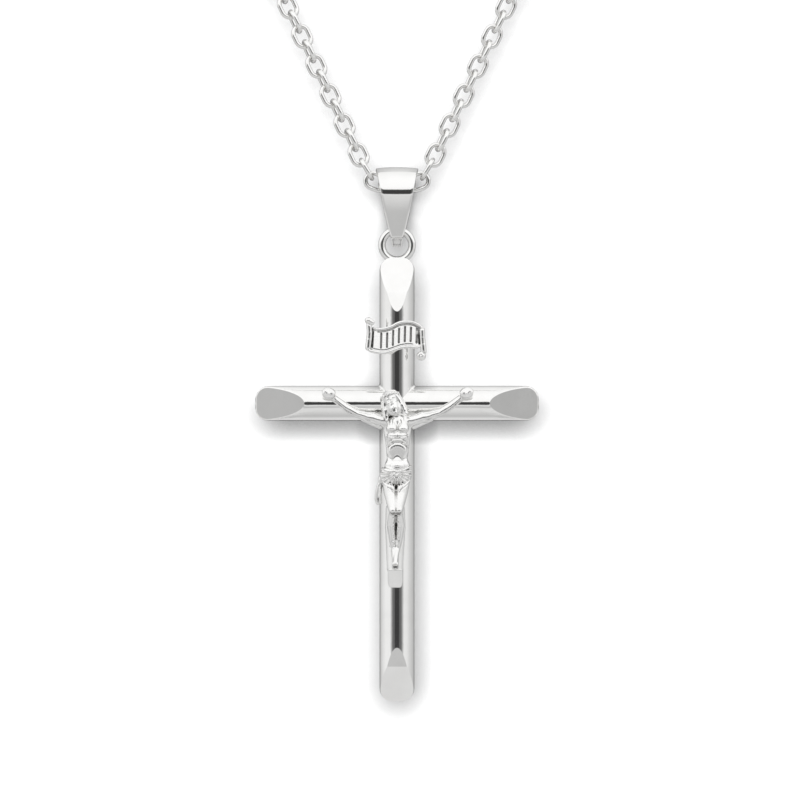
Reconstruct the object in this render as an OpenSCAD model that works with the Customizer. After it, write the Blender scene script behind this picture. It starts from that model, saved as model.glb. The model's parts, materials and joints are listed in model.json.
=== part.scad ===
// Round-bar silver crucifix pendant hanging on a short run of cable chain.
// It is drawn hanging: the front faces -Y, the arms run along X and up is +Z. The origin is
// halfway between the two end rings of the chain. Dimensions are in millimetres.

/* [Cross] */
// Overall height of the cross
cross_h = 44.5; // [30:0.5:60]
// Overall width across the arms
cross_w = 28.4; // [18:0.2:40]
// Diameter of the round bars
bar_d = 3.5; // [2.6:0.1:5]
// Wall of the hollow bars
bar_wall = 0.45; // [0.3:0.05:0.8]
// Height of the arm axis above the foot of the cross
arm_up = 29.86; // [20:0.1:40]
// Length of each sloping end facet
facet_len = 5.05; // [3:0.05:8]
// Depth of a facet at the bar's end
facet_drop = 1.7; // [1:0.05:2.2]
// Thickness of the facet plates
plate_t = 0.4; // [0.3:0.05:0.6]
// Rounding of the bar ends
end_round = 1.33; // [0.5:0.01:1.6]
// How far the bars' axis sits in front of the ring
cross_fwd = 0.4; // [0:0.05:1]

/* [Ring and bail] */
// Mean radius of the ring on the cross
ring_r = 1.5125; // [1.2:0.01:2.5]
// Wire of the ring on the cross
ring_wire = 0.75; // [0.5:0.05:1.2]
// Depth that the ring is let into the top of the cross
ring_sink = 0.64; // [0.4:0.02:0.8]
// Radius of the bail's arch, outside
arch_r = 1.9; // [1.6:0.05:3]
// Thickness of the bail's strap
strap_t = 0.43; // [0.3:0.01:0.8]
// Distance from the arch's centre to the ring's top wire
bail_len = 4.44; // [3.5:0.01:8]
// Outside radius of the bail's lower loop
loop_r = 0.92; // [0.8:0.01:1.5]
// Width of the bail at the top
bail_w = 4.35; // [3:0.05:7]
// Width of the bail at the bottom
bail_w2 = 1.2; // [0.8:0.05:3]

/* [Chain] */
// Wire of a chain link
link_wire = 0.46; // [0.3:0.01:0.8]
// Outside width of a chain link
link_w = 2.0; // [1.5:0.05:3]
// Pitch from one link to the next
pitch = 1.646; // [1.2:0.001:3]
// Slack where two links meet
slack = 0.04; // [0.02:0.01:0.2]
// Slope of each strand above the horizontal, in degrees
strand_a = 64.5; // [45:0.5:85]
// How far the links are rolled off flat, in degrees
link_roll = 15; // [0:1:30]

/* [Figure and scroll] */
// Height of the foot block
foot_h = 1.78; // [1:0.1:3]
// Thickness of the name scroll
scroll_t = 0.5; // [0.3:0.05:1]

/* [Hidden] */
$fn = 48;
R = bar_d / 2;
fa = atan(facet_drop / facet_len);
lw = link_wire / 2;
lr = link_w / 2 - lw;                 // centreline radius of a link's end
li = lr - lw;                         // inside radius of a link's end
gap = 2 * li - slack;                 // between the end centres of two joined links
ls = pitch - gap;                     // straight part of a link
// first flat link above the bail, measured from the arch's centre
f1 = [3.855, 3.1];
du = [cos(strand_a), sin(strand_a)];
// small end rings
er = 0.8;
ew = 0.25;
n_pair = 6;                           // flat links on each strand
end_c = f1 + ((n_pair - 1) * 2 + 1) * pitch * du + (ls / 2 + li + (er - ew) - slack) * du;
drop = end_c[1];                      // the arch's centre lies this far below the origin
z_wire = -drop - bail_len;            // ring's top wire
z_ring = z_wire - ring_r;
z_top = z_ring - ring_r - ring_wire / 2 + ring_sink;
z_arm = z_top - cross_h + arm_up;
z_bot = z_top - cross_h;
// links beside and inside the bail, from the arch's centre
side_a = 19.0;
a_f1 = f1 - ls / 2 * du;
e1_a = 60;
e1_len = ls + 2 * gap;
b_side = a_f1 - e1_len * [cos(e1_a), sin(e1_a)];
side_c = b_side - ls / 2 * [cos(side_a), sin(side_a)];
hid_c = [0.676, -0.233];
hid_a = 24.3;
hid_roll = 55.0;
side_roll = 0.0;
hid_y = -0.000;
// clasp
cl_t = 1.5;

// which sub-part to show or export

silver = [0.86, 0.86, 0.85];

module torus(r, w) { rotate_extrude() translate([r, 0]) circle(w); }

// one bar end: the bar runs down -Z from its tip at the origin
module rod_end(len, r, round) {
    rotate_extrude() union() {
        translate([0, -len]) square([r, len - round]);
        translate([0, -round - 0.01]) square([r - round, round + 0.01]);
        translate([r - round, -round]) intersection() { circle(round); square(round); }
    }
}
module half_in_front(t) {
    translate([0, -R, -facet_len]) rotate([-fa, 0, 0]) translate([-5, -10, -12])
        cube([10, 10 + t, 40]);
}
module slab(t) {
    translate([0, -R, -facet_len]) rotate([-fa, 0, 0]) translate([-5, 0, -12])
        cube([10, t, 40]);
}
module tube_end(len) {
    difference() {
        rod_end(len, R, end_round);
        translate([0, 0, -len - 1]) cylinder(h = len + 1 - bar_wall - 0.4, r = R - bar_wall);
        half_in_front(plate_t);
    }
}
module plate_end() {
    intersection() { rod_end(14, R, end_round); slab(plate_t); }
}
module at_top() { translate([0, -cross_fwd, z_top]) children(); }
module at_bottom() { translate([0, -cross_fwd, z_bot]) mirror([0, 0, 1]) children(); }
module at_side(s) {
    translate([s * cross_w / 2, -cross_fwd, z_arm]) rotate([0, s * 90, 0]) children();
}
module ring_groove() {
    translate([0, 0, z_ring]) rotate([90, 0, 0]) torus(ring_r, ring_wire / 2 + 0.02);
}

module upright_tube() {
    color(silver) difference() {
        union() {
            at_top() tube_end(cross_h - arm_up);
            at_bottom() tube_end(arm_up);
        }
        ring_groove();
    }
}
module arm_tube(s) {
    color(silver) difference() {
        at_side(s) tube_end(cross_w / 2);
        translate([0, -cross_fwd, z_arm - 5]) cylinder(h = 10, r = R);
    }
}
module facet_top() {
    color(silver) difference() { at_top() plate_end(); ring_groove(); }
}
module facet_bottom() { color(silver) at_bottom() plate_end(); }
module facet_side(s) { color(silver) at_side(s) plate_end(); }

module cross_ring() {
    color(silver) translate([0, 0, z_ring]) rotate([90, 0, 0]) torus(ring_r, ring_wire / 2);
}

// solid belt around two circles, drawn along X: r1 at the top, r2 a distance d below
module belt(r1, r2, d, w) {
    nz = -(r1 - r2) / d;
    ny = sqrt(1 - nz * nz);
    union() {
        rotate([0, 90, 0]) cylinder(h = w, r = r1, center = true);
        translate([0, 0, -d]) rotate([0, 90, 0]) cylinder(h = w, r = r2, center = true);
        rotate([90, 0, 90]) linear_extrude(height = w, center = true) polygon([
            [r1 * ny, r1 * nz], [-r1 * ny, r1 * nz],
            [-r2 * ny, -d + r2 * nz], [r2 * ny, -d + r2 * nz]]);
    }
}
module bail() {
    color(silver) translate([0, 0, -drop]) difference() {
        union() {
            intersection() {
                belt(arch_r, loop_r, bail_len + 0.05, 6);
                rotate([90, 0, 0]) linear_extrude(height = 6, center = true) polygon([
                    [-bail_w / 2, arch_r], [bail_w / 2, arch_r],
                    [bail_w2 / 2, -bail_len - 0.97], [-bail_w2 / 2, -bail_len - 0.97]]);
            }
            translate([-0.5, -0.55, -bail_len - 1.72]) cube([1, 0.36, 1.1]);
        }
        belt(arch_r - strap_t, 0.52, bail_len + 0.05, 8);
    }
}

// a link lies in XZ with its length along X
module link() {
    color(silver) union() {
        for (s = [-1, 1]) translate([s * ls / 2, 0, 0]) rotate([90, 0, 0])
            intersection() {
                torus(lr, lw);
                translate([s > 0 ? 0 : -3, -3, -3]) cube([3, 6, 6]);
            }
        for (s = [-1, 1]) translate([-ls / 2, 0, s * lr]) rotate([0, 90, 0])
            cylinder(h = ls, r = lw);
    }
}
// s is -1 for the left strand; c is the centre from the arch, a its slope, roll about its length
module put(s, c, a, roll) {
    translate([0, 0, -drop]) rotate([0, 0, s < 0 ? 180 : 0])
        translate([c[0], c[2] == undef ? 0 : c[2], c[1]]) rotate([0, -a, 0]) rotate([roll, 0, 0]) link();
}
module strand_link(s, i) {
    if (i == 0) put(s, side_c, side_a, side_roll);
    else if (i == 1) put(s, b_side + e1_len / 2 * [cos(e1_a), sin(e1_a)], e1_a, 90 + side_roll);
    else put(s, f1 + (i - 2) * pitch * du, strand_a, (i % 2 == 0 ? 0 : 90) + link_roll);
}
module end_ring(s) {
    color(silver) translate([s * end_c[0], 0, 0]) rotate([90, 0, 0]) torus(er, ew);
}

// the clasp's own frame: Z runs along it, away from the chain, from the centre of its eye
module clasp_place() {
    translate([-end_c[0], 0, 0] + [-cos(strand_a), 0, sin(strand_a)] * (2 * (er - ew) - slack))
        rotate([0, strand_a - 90, 0]) children();
}
module clasp_body() {
    color(silver) clasp_place() difference() {
        union() {
            rotate([0, 90, 0]) torus(er, ew);
            translate([0, 0, 1.15]) rotate([90, 0, 0]) cylinder(h = cl_t, r = 0.6, center = true);
            translate([-0.1, 0, 2.2]) rotate([90, 0, 0]) cylinder(h = cl_t, r = 1.25, center = true);
            translate([-0.1, 0, 4.7]) rotate([90, 0, 0]) cylinder(h = cl_t, r = 1.9, center = true);
            rotate([90, 0, 0]) linear_extrude(height = cl_t, center = true)
                polygon([[-1.35, 2.2], [1.1, 2.2], [1.75, 4.7], [-2, 4.7]]);
        }
        translate([0.1, 0, 4.75]) rotate([90, 0, 0]) cylinder(h = 3, r = 1.15, center = true);
        // the way in, which the lever closes
        translate([0.35, -2, 3.0]) cube([3, 4, 2.65]);
        // slot for the lever's eye
        translate([-0.25, -0.36, 1.55]) cube([3.4, 0.72, 2.5]);
        translate([0.75, 0, 2.2]) rotate([90, 0, 0]) cylinder(h = 4, r = 0.2, center = true);
    }
}
module clasp_lever() {
    color(silver) clasp_place() difference() {
        union() {
            translate([0.75, 0, 2.2]) rotate([90, 0, 0])
                cylinder(h = 0.66, r = 0.5, center = true);
            translate([0.45, -0.33, 2.2]) cube([0.7, 0.66, 1.2]);
            translate([0.95, -cl_t / 2 + 0.1, 3.2]) cube([0.55, cl_t - 0.2, 2.33]);
            translate([0.85, -cl_t / 2 + 0.1, 3.2]) cube([0.65, cl_t - 0.2, 0.25]);
            translate([1.4, 0, 3.55]) rotate([90, 0, 0])
                cylinder(h = cl_t - 0.2, r = 0.33, center = true);
        }
        translate([0.75, 0, 2.2]) rotate([90, 0, 0]) cylinder(h = 4, r = 0.225, center = true);
    }
}
module clasp_pin() {
    color(silver) clasp_place() translate([0.75, 0, 2.2]) rotate([90, 0, 0])
        cylinder(h = cl_t, r = 0.2, center = true);
}

// the cast figure, drawn from the arm axis: x across, z up, y forward is negative
module ball(p, r) { translate(p) sphere(r, $fn = 20); }
module limb(p, r, q, s) { hull() { ball(p, r); ball(q, s); } }
module corpus() {
    f = -R;                            // the front line of the upright
    color(silver) translate([0, -cross_fwd, z_arm]) difference() {
        union() {
            limb([-7.05, f - 0.10, 0.9], 0.42, [-3.95, f - 0.1, -0.9], 0.42);
            limb([-3.95, f - 0.1, -0.9], 0.42, [-1.45, f - 0.35, -1.5], 0.62);
            limb([7.1, f - 0.10, 1.0], 0.42, [4.5, f - 0.1, -0.85], 0.42);
            limb([4.5, f - 0.1, -0.85], 0.42, [1.3, f - 0.35, -1.5], 0.62);
            limb([-7.1, f - 0.15, 1.0], 0.5, [-6.8, f - 0.15, 0.85], 0.45);
            limb([7.15, f - 0.15, 1.05], 0.5, [6.9, f - 0.15, 0.9], 0.45);
            // head, bowed towards one shoulder
            hull() { ball([-0.35, f - 0.75, 0.35], 1.1); ball([-0.15, f - 1.05, -0.6], 0.75); }
            limb([0.75, f - 0.45, 0.4], 0.6, [0.8, f - 0.35, -0.9], 0.4);
            // chest and waist
            hull() {
                ball([-0.75, f - 0.55, -1.9], 0.75); ball([0.75, f - 0.55, -1.9], 0.75);
                ball([-0.7, f - 0.45, -4.0], 0.7); ball([0.75, f - 0.45, -4.0], 0.7);
            }
            hull() {
                ball([-0.7, f - 0.45, -4.0], 0.7); ball([0.75, f - 0.45, -4.0], 0.7);
                ball([-0.6, f - 0.4, -6.4], 0.7); ball([0.6, f - 0.4, -6.4], 0.7);
            }
            // cloth about the hips, and its knot
            hull() {
                ball([-0.85, f - 0.5, -6.9], 0.75); ball([0.75, f - 0.5, -6.9], 0.75);
                ball([-0.6, f - 0.75, -8.2], 0.75); ball([0.6, f - 0.75, -8.2], 0.75);
            }
            limb([-1.75, f - 0.35, -7.2], 0.4, [-1.9, f - 0.2, -9.9], 0.28);
            // thighs, knees, shins and feet
            limb([-0.6, f - 0.75, -8.2], 0.75, [-0.35, f - 1.15, -10.7], 0.6);
            limb([0.6, f - 0.75, -8.2], 0.75, [0.25, f - 1.1, -10.8], 0.6);
            limb([-0.35, f - 1.15, -10.7], 0.6, [-0.2, f - 0.35, -14.9], 0.36);
            limb([0.25, f - 1.1, -10.8], 0.6, [0.1, f - 0.35, -14.9], 0.36);
            limb([-0.2, f - 0.35, -14.9], 0.36, [-0.1, f - 0.95, -16.0], 0.33);
            limb([0.1, f - 0.35, -14.9], 0.36, [0.05, f - 0.95, -16.0], 0.33);
        }
        translate([0, 0, -30]) cylinder(h = 60, r = R, $fn = 96);
        rotate([0, 90, 0]) cylinder(h = 60, r = R, center = true, $fn = 96);
    }
}
module foot_block() {
    color(silver) translate([-0.15, -cross_fwd, z_arm - 16.7]) difference() {
        union() {
            translate([-0.73, -R - 1.45, -foot_h + 0.4]) cube([1.46, 2, foot_h - 0.4]);
            translate([0, -R + 0.55, -foot_h + 0.73]) rotate([90, 0, 0])
                cylinder(h = 2, r = 0.73);
        }
        translate([0.15, 0, -20]) cylinder(h = 40, r = R);
    }
}
module titulus_scroll() {
    color(silver) translate([0, -cross_fwd, z_arm + 6.4]) difference() {
        union() {
            // the wavy band
            translate([0, -R - 0.1, 0]) rotate([90, 0, 0]) linear_extrude(height = scroll_t)
                polygon([[-2.8, 1.6], [-2.2, 1.44], [-1.7, 1.1], [-1.2, 0.97], [-0.7, 1.05],
                    [-0.2, 1.27], [0.63, 1.6], [1.2, 1.7], [1.63, 1.72], [2.1, 1.62],
                    [2.55, 1.36], [2.6, -0.8], [1.97, -0.56], [1.3, -0.6], [0.63, -0.76],
                    [0, -0.98], [-0.53, -1.19], [-1.2, -1.32], [-1.87, -1.36],
                    [-2.5, -1.18], [-2.9, -0.9]]);
            // the rolled ends, left up and right down
            translate([0, -R + 0.3, 0]) rotate([90, 0, 0]) linear_extrude(height = 1.15)
                polygon([[-3.15, 1.9], [-2.95, 2.2], [-2.6, 2.2], [-2.42, 1.9], [-2.4, -0.9],
                    [-2.9, -0.95]]);
            translate([0, -R + 0.3, 0]) rotate([90, 0, 0]) linear_extrude(height = 1.15)
                polygon([[2.25, 1.4], [2.75, 1.2], [2.88, -1.7], [2.65, -2.05], [2.25, -2.05],
                    [2.1, -1.6]]);
        }
        translate([0, 0, -10]) cylinder(h = 20, r = R);
    }
}

upright_tube();
arm_tube(-1);  // arm_tube_left
arm_tube(1);  // arm_tube_right
facet_top();
facet_bottom();
facet_side(-1);  // facet_left
facet_side(1);  // facet_right
corpus();
foot_block();
titulus_scroll();
cross_ring();
bail();
put(-1, [hid_c[0], hid_c[1], hid_y], hid_a, hid_roll);  // link_hidden_l
put(1, [hid_c[0], hid_c[1], hid_y], hid_a, hid_roll);  // link_hidden_r
strand_link(-1, 0);  // link_l00
strand_link(-1, 1);  // link_l01
strand_link(-1, 2);  // link_l02
strand_link(-1, 3);  // link_l03
strand_link(-1, 4);  // link_l04
strand_link(-1, 5);  // link_l05
strand_link(-1, 6);  // link_l06
strand_link(-1, 7);  // link_l07
strand_link(-1, 8);  // link_l08
strand_link(-1, 9);  // link_l09
strand_link(-1, 10);  // link_l10
strand_link(-1, 11);  // link_l11
strand_link(-1, 12);  // link_l12
strand_link(-1, 13);  // link_l13
strand_link(1, 0);  // link_r00
strand_link(1, 1);  // link_r01
strand_link(1, 2);  // link_r02
strand_link(1, 3);  // link_r03
strand_link(1, 4);  // link_r04
strand_link(1, 5);  // link_r05
strand_link(1, 6);  // link_r06
strand_link(1, 7);  // link_r07
strand_link(1, 8);  // link_r08
strand_link(1, 9);  // link_r09
strand_link(1, 10);  // link_r10
strand_link(1, 11);  // link_r11
strand_link(1, 12);  // link_r12
strand_link(1, 13);  // link_r13
end_ring(-1);  // end_ring_left
end_ring(1);  // end_ring_right
clasp_body();
clasp_lever();
clasp_pin();
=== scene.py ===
"""Silver crucifix pendant on a cable chain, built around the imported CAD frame."""
import json
import math

import bmesh
import bpy
import numpy as np
from mathutils import Matrix, Vector
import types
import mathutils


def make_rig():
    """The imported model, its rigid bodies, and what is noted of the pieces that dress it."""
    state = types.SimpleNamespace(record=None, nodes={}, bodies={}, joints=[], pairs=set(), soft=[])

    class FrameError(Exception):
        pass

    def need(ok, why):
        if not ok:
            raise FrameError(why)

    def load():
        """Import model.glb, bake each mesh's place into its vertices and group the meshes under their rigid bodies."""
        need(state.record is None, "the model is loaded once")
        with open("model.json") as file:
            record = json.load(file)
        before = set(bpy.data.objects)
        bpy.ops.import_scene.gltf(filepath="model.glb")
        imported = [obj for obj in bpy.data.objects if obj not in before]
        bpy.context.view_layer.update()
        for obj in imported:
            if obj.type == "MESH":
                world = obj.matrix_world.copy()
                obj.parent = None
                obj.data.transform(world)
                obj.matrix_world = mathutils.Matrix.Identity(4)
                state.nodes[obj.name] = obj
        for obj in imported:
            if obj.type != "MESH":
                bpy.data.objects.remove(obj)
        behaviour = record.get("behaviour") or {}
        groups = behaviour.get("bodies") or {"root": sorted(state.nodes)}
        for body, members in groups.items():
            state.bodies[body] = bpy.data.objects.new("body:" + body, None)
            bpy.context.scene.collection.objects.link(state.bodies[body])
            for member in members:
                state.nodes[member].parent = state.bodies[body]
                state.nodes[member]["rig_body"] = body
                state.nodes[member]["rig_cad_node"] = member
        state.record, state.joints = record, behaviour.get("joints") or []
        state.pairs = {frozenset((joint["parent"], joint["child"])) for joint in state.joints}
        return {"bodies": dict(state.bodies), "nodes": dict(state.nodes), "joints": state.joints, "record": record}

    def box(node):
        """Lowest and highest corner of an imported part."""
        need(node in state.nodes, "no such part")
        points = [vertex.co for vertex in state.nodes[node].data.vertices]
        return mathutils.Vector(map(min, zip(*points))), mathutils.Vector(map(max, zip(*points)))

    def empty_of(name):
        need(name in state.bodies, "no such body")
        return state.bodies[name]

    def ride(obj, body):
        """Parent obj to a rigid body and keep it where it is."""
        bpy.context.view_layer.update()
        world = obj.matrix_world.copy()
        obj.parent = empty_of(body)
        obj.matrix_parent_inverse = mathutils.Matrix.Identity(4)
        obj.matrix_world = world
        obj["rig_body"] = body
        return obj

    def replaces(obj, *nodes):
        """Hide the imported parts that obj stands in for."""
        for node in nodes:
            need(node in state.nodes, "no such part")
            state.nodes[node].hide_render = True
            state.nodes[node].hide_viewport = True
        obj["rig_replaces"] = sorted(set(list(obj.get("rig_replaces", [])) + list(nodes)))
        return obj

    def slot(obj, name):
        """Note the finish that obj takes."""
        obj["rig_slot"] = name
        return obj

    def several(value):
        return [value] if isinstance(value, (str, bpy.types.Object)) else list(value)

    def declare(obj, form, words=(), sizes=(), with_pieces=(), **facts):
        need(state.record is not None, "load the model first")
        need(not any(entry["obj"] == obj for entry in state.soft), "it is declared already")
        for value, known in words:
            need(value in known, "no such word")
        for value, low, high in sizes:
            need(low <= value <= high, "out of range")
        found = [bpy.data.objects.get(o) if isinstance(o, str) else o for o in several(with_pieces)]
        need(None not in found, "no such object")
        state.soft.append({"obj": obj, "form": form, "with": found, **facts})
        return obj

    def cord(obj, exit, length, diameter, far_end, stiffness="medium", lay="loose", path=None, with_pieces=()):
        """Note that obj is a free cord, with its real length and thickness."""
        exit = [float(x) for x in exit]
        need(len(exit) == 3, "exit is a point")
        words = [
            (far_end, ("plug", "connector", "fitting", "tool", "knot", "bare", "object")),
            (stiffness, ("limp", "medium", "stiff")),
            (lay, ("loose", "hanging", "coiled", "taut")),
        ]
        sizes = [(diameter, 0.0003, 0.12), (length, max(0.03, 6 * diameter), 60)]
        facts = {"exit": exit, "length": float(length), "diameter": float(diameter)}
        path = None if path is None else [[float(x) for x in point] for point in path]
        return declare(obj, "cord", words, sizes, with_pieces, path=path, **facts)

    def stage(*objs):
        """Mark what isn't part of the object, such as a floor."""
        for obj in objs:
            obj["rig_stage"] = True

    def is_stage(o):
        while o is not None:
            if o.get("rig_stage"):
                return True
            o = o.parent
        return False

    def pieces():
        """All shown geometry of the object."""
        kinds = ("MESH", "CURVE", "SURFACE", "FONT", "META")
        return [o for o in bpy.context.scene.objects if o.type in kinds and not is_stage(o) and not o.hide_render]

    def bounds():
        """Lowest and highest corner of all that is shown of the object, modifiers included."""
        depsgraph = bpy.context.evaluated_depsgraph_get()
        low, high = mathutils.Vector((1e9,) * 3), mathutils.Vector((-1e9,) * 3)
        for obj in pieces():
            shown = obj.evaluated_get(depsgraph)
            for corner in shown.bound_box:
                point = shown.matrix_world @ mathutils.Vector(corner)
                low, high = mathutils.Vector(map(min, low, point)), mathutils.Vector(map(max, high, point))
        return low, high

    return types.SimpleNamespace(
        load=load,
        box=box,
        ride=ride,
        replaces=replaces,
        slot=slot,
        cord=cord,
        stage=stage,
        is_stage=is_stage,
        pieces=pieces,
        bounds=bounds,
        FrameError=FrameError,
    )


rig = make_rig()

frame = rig.load()
cad_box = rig.bounds()
MM = 0.001
C = bpy.context.scene.collection


# ---------------------------------------------------------------- places, from the frame
def box_mm(node):
    lo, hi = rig.box(node)
    return np.array(lo) / MM, np.array(hi) / MM


up_lo, up_hi = box_mm("upright_tube")
R = (up_hi[0] - up_lo[0]) / 2
Z_BOT = up_lo[2]
arm_lo, arm_hi = box_mm("arm_tube_left")
arm_r = box_mm("arm_tube_right")[1]
Z_ARM = (arm_lo[2] + arm_hi[2]) / 2
CY = (arm_lo[1] + arm_hi[1]) / 2
HALF_W = (arm_r[0] - arm_lo[0]) / 2
ring_lo, ring_hi = box_mm("cross_ring")
Z_RING = (ring_lo[2] + ring_hi[2]) / 2
WIRE = (ring_hi[1] - ring_lo[1]) / 2
RING_R = (ring_hi[0] - ring_lo[0]) / 2 - WIRE
bail_lo, bail_hi = box_mm("bail")
ARCH_R = (bail_hi[1] - bail_lo[1]) / 2
Z_ARCH = bail_hi[2] - ARCH_R
CROSS = np.array([0.0, CY, Z_ARM])            # the middle of the crossing
FRONT = CROSS - [0, R, 0]                     # the bars' front line there

# the source's own numbers for what a box can't give
CROSS_TALL = 44.5
Z_TOP = Z_BOT + CROSS_TALL
FACET_LEN, FACET_DROP, PLATE, ROUND = 5.05, 1.7, 0.4, 1.33
BAIL_LEN, LOOP_R, STRAP = 4.49, 0.92, 0.41
LINK_W, LINK_WIRE, PITCH, SLACK, STRAND = 2.0, 0.46, 1.646, 0.04, 64.5
RING_E, WIRE_E = 0.8, 0.25

# the visual model's own
LONG_TIP, STEEP, FLAT = 5.45, 21.5, 9.0       # the upright's facets run out flatter
RIM, RIM_FALL = 0.12, 0.05                    # the side facets' softened edges
AROUND, STEP = 144, 0.8                       # points round a bar, and the way along it
BLANK = 14                                    # the rod that a facet's plate is cut from
SADDLE = 2.4                                  # where an arm's root starts
CUT_FACE = 12                                 # only a cut's face has more corners
SHARP = math.radians(24)
LINKS_CLEAR = 1.485                           # stays free inside the bail's arch
OVERLAP = 0.03                                # how far a cast piece reaches into the bars
OUTSIDE = 0.6                                 # an empty field's distance

# ---------------------------------------------------------------- camera
SPAN = 80.0                                   # what the picture spans at the aim
DIST = 444.0
SENSOR = 36.0
AIM = (0.3, CY - 1.2, Z_ARM + 0.34)
cam_data = bpy.data.cameras.new("camera")
cam_data.lens = SENSOR * DIST / SPAN
cam_data.sensor_width = SENSOR
cam_data.clip_start = 0.01
cam_data.clip_end = 10.0
cam = bpy.data.objects.new("camera", cam_data)
C.objects.link(cam)
cam.location = (AIM[0] * MM, (AIM[1] - DIST) * MM, AIM[2] * MM)
cam.rotation_euler = (math.pi / 2, 0, 0)
bpy.context.scene.camera = cam


# ---------------------------------------------------------------- small helpers
def link_mesh(name, me, material):
    me.materials.append(material)
    ob = bpy.data.objects.new(name, me)
    C.objects.link(ob)
    return ob


def new_object(name, verts, faces, material, smooth=True, offset=(0, 0, 0)):
    """A mesh object from points in millimetres."""
    me = bpy.data.meshes.new(name)
    points = (np.asarray(verts, dtype=float) + np.asarray(offset)) * MM
    me.from_pydata(points.tolist(), [], [list(map(int, f)) for f in faces])
    me.validate()
    me.update()
    if smooth:
        me.shade_smooth()
    return link_mesh(name, me, material)


def finish_piece(ob, body, slot, *nodes):
    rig.ride(ob, body)
    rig.slot(ob, slot)
    if nodes:
        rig.replaces(ob, *nodes)
    return ob


def recalc(ob, angle):
    """Turns the faces outward and makes edges of more than angle degrees sharp."""
    bm = bmesh.new()
    bm.from_mesh(ob.data)
    bmesh.ops.recalc_face_normals(bm, faces=bm.faces)
    for e in bm.edges:
        if len(e.link_faces) == 2:
            e.smooth = e.calc_face_angle(0.0) < math.radians(angle)
    bm.to_mesh(ob.data)
    bm.free()


# ---------------------------------------------------------------- materials
class Nodes:
    """Short-hand for building a node tree."""

    def __init__(self, tree):
        self.t = tree

    def new(self, kind, **props):
        n = self.t.nodes.new(kind)
        for k, v in props.items():
            setattr(n, k, v)
        return n

    def link(self, a, b):
        self.t.links.new(a, b)

    def math(self, op, a, b=None, clamp=False):
        n = self.new("ShaderNodeMath", operation=op, use_clamp=clamp)
        for i, v in enumerate((a, b)):
            if isinstance(v, (int, float)):
                n.inputs[i].default_value = v
            elif v is not None:
                self.link(v, n.inputs[i])
        return n.outputs[0]

    def ramp(self, value, lo, hi, out_lo=0.0, out_hi=1.0, smooth=True):
        n = self.new("ShaderNodeMapRange", clamp=True)
        n.interpolation_type = "SMOOTHSTEP" if smooth else "LINEAR"
        self.link(value, n.inputs[0])
        for i, v in enumerate((lo, hi, out_lo, out_hi)):
            n.inputs[i + 1].default_value = v
        return n.outputs[0]

    def curve(self, value, points):
        """A value read off a run of (input, output) points."""
        lo, hi = points[0][0], points[-1][0]
        n = self.new("ShaderNodeValToRGB")
        self.link(self.ramp(value, lo, hi, smooth=False), n.inputs[0])
        el = n.color_ramp.elements
        el[0].position, el[1].position = 0.0, 1.0
        for x, _ in points[1:-1]:
            el.new((x - lo) / (hi - lo))
        for e, (_, v) in zip(el, points):
            e.color = (v, v, v, 1)
        return n.outputs[0]

    def mix(self, fac, a, b):
        """A colour between two colours."""
        n = self.new("ShaderNodeMix", data_type="RGBA")
        self.link(fac, n.inputs[0])
        n.inputs[6].default_value, n.inputs[7].default_value = (*a, 1), (*b, 1)
        return n.outputs[2]

    def texture(self, kind, source, **settings):
        n = self.new(kind)
        self.link(source, n.inputs["Vector"])
        for k, v in settings.items():
            n.inputs[k].default_value = v
        return n


def silver(name, base, deep, rough, rough_var, line_scale, bump, painted_shade_amount, stretch=(1, 1, 1),
           reach=0.0006):
    """Polished silver: fine directional polishing lines, tiny pits, random tone, and painted shade in recesses: where
    ambient occlusion finds a recess, the base colour is darkened towards deep.
    """
    m = bpy.data.materials.new(name)
    m.use_nodes = True
    n = Nodes(m.node_tree)
    bsdf = m.node_tree.nodes["Principled BSDF"]
    bsdf.inputs["Metallic"].default_value = 1.0
    co = n.new("ShaderNodeTexCoord").outputs["Object"]
    mp = n.new("ShaderNodeMapping")
    mp.inputs["Scale"].default_value = stretch
    n.link(co, mp.inputs["Vector"])
    lines = n.texture("ShaderNodeTexNoise", mp.outputs[0], Scale=line_scale, Detail=6.0,
                      Roughness=0.65)
    cloud = n.texture("ShaderNodeTexNoise", co, Scale=450.0, Detail=3.0)
    pits = n.texture("ShaderNodeTexVoronoi", co, Scale=2600.0)
    pit = n.ramp(pits.outputs["Distance"], 0.02, 0.10, 1.0, 0.0)
    # painted shade: ambient occlusion within reach marks recesses, and the base colour there is mixed towards deep
    ao = n.new("ShaderNodeAmbientOcclusion", samples=6, only_local=True)
    ao.inputs["Distance"].default_value = reach
    recess_shade = n.ramp(ao.outputs["AO"], 0.35, 0.92, painted_shade_amount, 0.0)
    tint = n.ramp(cloud.outputs["Fac"], 0.35, 0.75, 0.0, 0.06)
    # painted shade in recesses, added to a slight random tone
    dark = n.math("ADD", recess_shade, tint, clamp=True)
    n.link(n.mix(dark, base, deep), bsdf.inputs["Base Color"])
    r = n.ramp(lines.outputs["Fac"], 0.3, 0.75, rough, rough + rough_var)
    r = n.math("ADD", r, n.math("MULTIPLY", recess_shade, 0.12))
    n.link(r, bsdf.inputs["Roughness"])
    height = n.math("ADD", lines.outputs["Fac"], n.math("MULTIPLY", pit, -0.35))
    bp = n.new("ShaderNodeBump")
    bp.inputs["Strength"].default_value = bump
    bp.inputs["Distance"].default_value = 0.000004
    n.link(height, bp.inputs["Height"])
    n.link(bp.outputs[0], bsdf.inputs["Normal"])
    return m


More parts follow.
